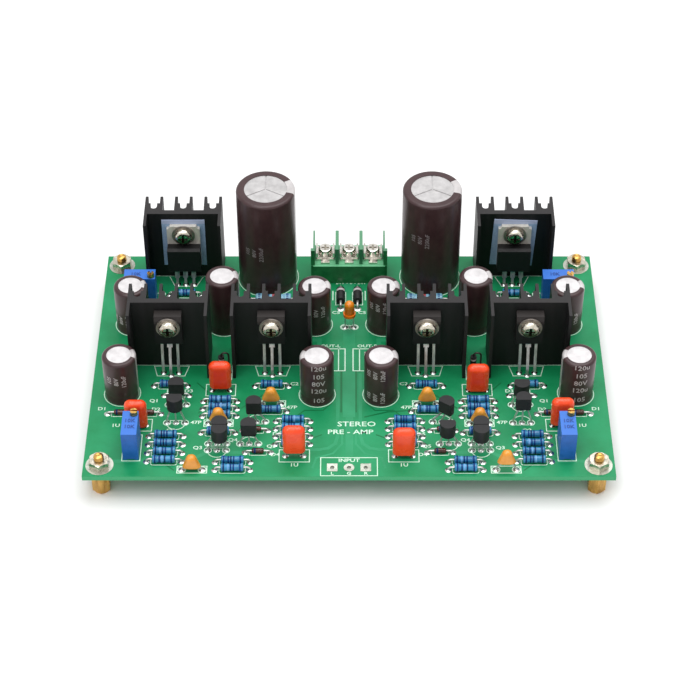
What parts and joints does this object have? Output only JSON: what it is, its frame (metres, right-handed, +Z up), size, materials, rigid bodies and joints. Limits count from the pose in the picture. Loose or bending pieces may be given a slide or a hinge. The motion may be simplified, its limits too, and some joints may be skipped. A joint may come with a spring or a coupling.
{
  "type": "preamplifier board",
  "caption": "Stereo preamplifier circuit board on hexagonal standoffs, with finned heat sinks, electrolytic capacitors, trimmers and a screw terminal block.",
  "frame": {"origin": "under the centre of the board, on the plane of the standoffs' feet", "axes": "+X right along the board's long side, +Y back to the terminal block, +Z up"},
  "size_m": [0.152, 0.095, 0.0451],
  "materials": {
    "green_board": "glossy green solder mask",
    "tinned_leads": "tinned, satin",
    "solder": "bright solder",
    "brass": "turned brass",
    "plated_steel": "nickel plated",
    "black_aluminium": "black anodised",
    "black_moulding": "satin moulded",
    "blue_insulator": "light blue, semi-matte",
    "bright_aluminium": "bright rolled",
    "brown_sleeve": "dark brown shrink film",
    "black_rubber": "matte",
    "red_resin": "dipped resin",
    "orange_resin": "dipped resin",
    "blue_lacquer": "glossy lacquer",
    "light_blue_lacquer": "glossy lacquer",
    "amber_glass": "clear glass over an amber core",
    "orange_lens": "clear orange",
    "blue_moulding": "satin moulded",
    "green_moulding": "satin moulded"
  },
  "bodies": {
    "board": {"circuit_board": "green_board", "corner_rings": "solder", "wire_pads": "solder", "standoffs": "brass", "standoff_nuts": "plated_steel", "left_outer_heat_sink": "black_aluminium", "left_inner_heat_sink": "black_aluminium", "right_inner_heat_sink": "black_aluminium", "right_outer_heat_sink": "black_aluminium", "left_rear_heat_sink": "black_aluminium", "right_rear_heat_sink": "black_aluminium", "heat_sink_pins": "tinned_leads", "front_power_transistors": "black_moulding", "front_power_transistor_leads": "tinned_leads", "rear_power_transistor_cases": "black_moulding", "rear_power_transistor_tabs": "plated_steel", "rear_power_transistor_leads": "tinned_leads", "insulating_pads": "blue_insulator", "transistor_screws": "plated_steel", "screw_washers": "plated_steel", "large_capacitor_cans": "bright_aluminium", "large_capacitor_sleeves": "brown_sleeve", "tall_capacitor_cans": "bright_aluminium", "tall_capacitor_sleeves": "brown_sleeve", "short_capacitor_cans": "bright_aluminium", "short_capacitor_sleeves": "brown_sleeve", "capacitor_seals": "black_rubber", "capacitor_leads": "tinned_leads", "film_capacitors": "red_resin", "film_capacitor_leads": "tinned_leads", "ceramic_capacitors": "orange_resin", "ceramic_capacitor_leads": "tinned_leads", "resistor_bodies": "blue_lacquer", "resistor_leads": "tinned_leads", "power_resistor_bodies": "light_blue_lacquer", "power_resistor_leads": "tinned_leads", "small_transistors": "black_moulding", "small_transistor_leads": "tinned_leads", "signal_diodes": "amber_glass", "signal_diode_leads": "tinned_leads", "rectifier_diodes": "black_moulding", "rectifier_diode_leads": "tinned_leads", "indicator_lamp": "orange_lens", "indicator_lamp_leads": "tinned_leads", "trimmer_bodies": "blue_moulding", "trimmer_pins": "tinned_leads", "terminal_housing": "green_moulding", "terminal_strips": "tinned_leads", "solder_joints": "solder"},
    "left_front_trimmer_screw": {"left_front_trimmer_screw": "brass"},
    "right_front_trimmer_screw": {"right_front_trimmer_screw": "brass"},
    "left_rear_trimmer_screw": {"left_rear_trimmer_screw": "brass"},
    "right_rear_trimmer_screw": {"right_rear_trimmer_screw": "brass"},
    "left_terminal_clamp": {"left_terminal_clamp": "plated_steel"},
    "left_terminal_screw": {"left_terminal_screw": "plated_steel"},
    "centre_terminal_clamp": {"centre_terminal_clamp": "plated_steel"},
    "centre_terminal_screw": {"centre_terminal_screw": "plated_steel"},
    "right_terminal_clamp": {"right_terminal_clamp": "plated_steel"},
    "right_terminal_screw": {"right_terminal_screw": "plated_steel"}
  },
  "joints": [
    {"name": "left_front_trimmer_turn", "type": "hinge", "parent": "board", "child": "left_front_trimmer_screw", "pos_m": [-0.06152, -0.03272, 0.0199], "axis": [0, 0, 1], "continuous": true},
    {"name": "right_front_trimmer_turn", "type": "hinge", "parent": "board", "child": "right_front_trimmer_screw", "pos_m": [0.06348, -0.03272, 0.0199], "axis": [0, 0, 1], "continuous": true},
    {"name": "left_rear_trimmer_turn", "type": "hinge", "parent": "board", "child": "left_rear_trimmer_screw", "pos_m": [-0.06062, 0.02642, 0.0199], "axis": [0, 0, 1], "continuous": true},
    {"name": "right_rear_trimmer_turn", "type": "hinge", "parent": "board", "child": "right_rear_trimmer_screw", "pos_m": [0.06758, 0.02642, 0.0199], "axis": [0, 0, 1], "continuous": true},
    {"name": "left_clamp_lift", "type": "slide", "parent": "board", "child": "left_terminal_clamp", "axis": [0, 0, 1], "range_m": [0, 0.0025]},
    {"name": "left_screw_turn", "type": "hinge", "parent": "left_terminal_clamp", "child": "left_terminal_screw", "pos_m": [-0.0074, 0.0403, 0.0177], "axis": [0, 0, 1], "continuous": true},
    {"name": "centre_clamp_lift", "type": "slide", "parent": "board", "child": "centre_terminal_clamp", "axis": [0, 0, 1], "range_m": [0, 0.0025]},
    {"name": "centre_screw_turn", "type": "hinge", "parent": "centre_terminal_clamp", "child": "centre_terminal_screw", "pos_m": [0, 0.0403, 0.0177], "axis": [0, 0, 1], "continuous": true},
    {"name": "right_clamp_lift", "type": "slide", "parent": "board", "child": "right_terminal_clamp", "axis": [0, 0, 1], "range_m": [0, 0.0025]},
    {"name": "right_screw_turn", "type": "hinge", "parent": "right_terminal_clamp", "child": "right_terminal_screw", "pos_m": [0.0074, 0.0403, 0.0177], "axis": [0, 0, 1], "continuous": true}
  ]
}
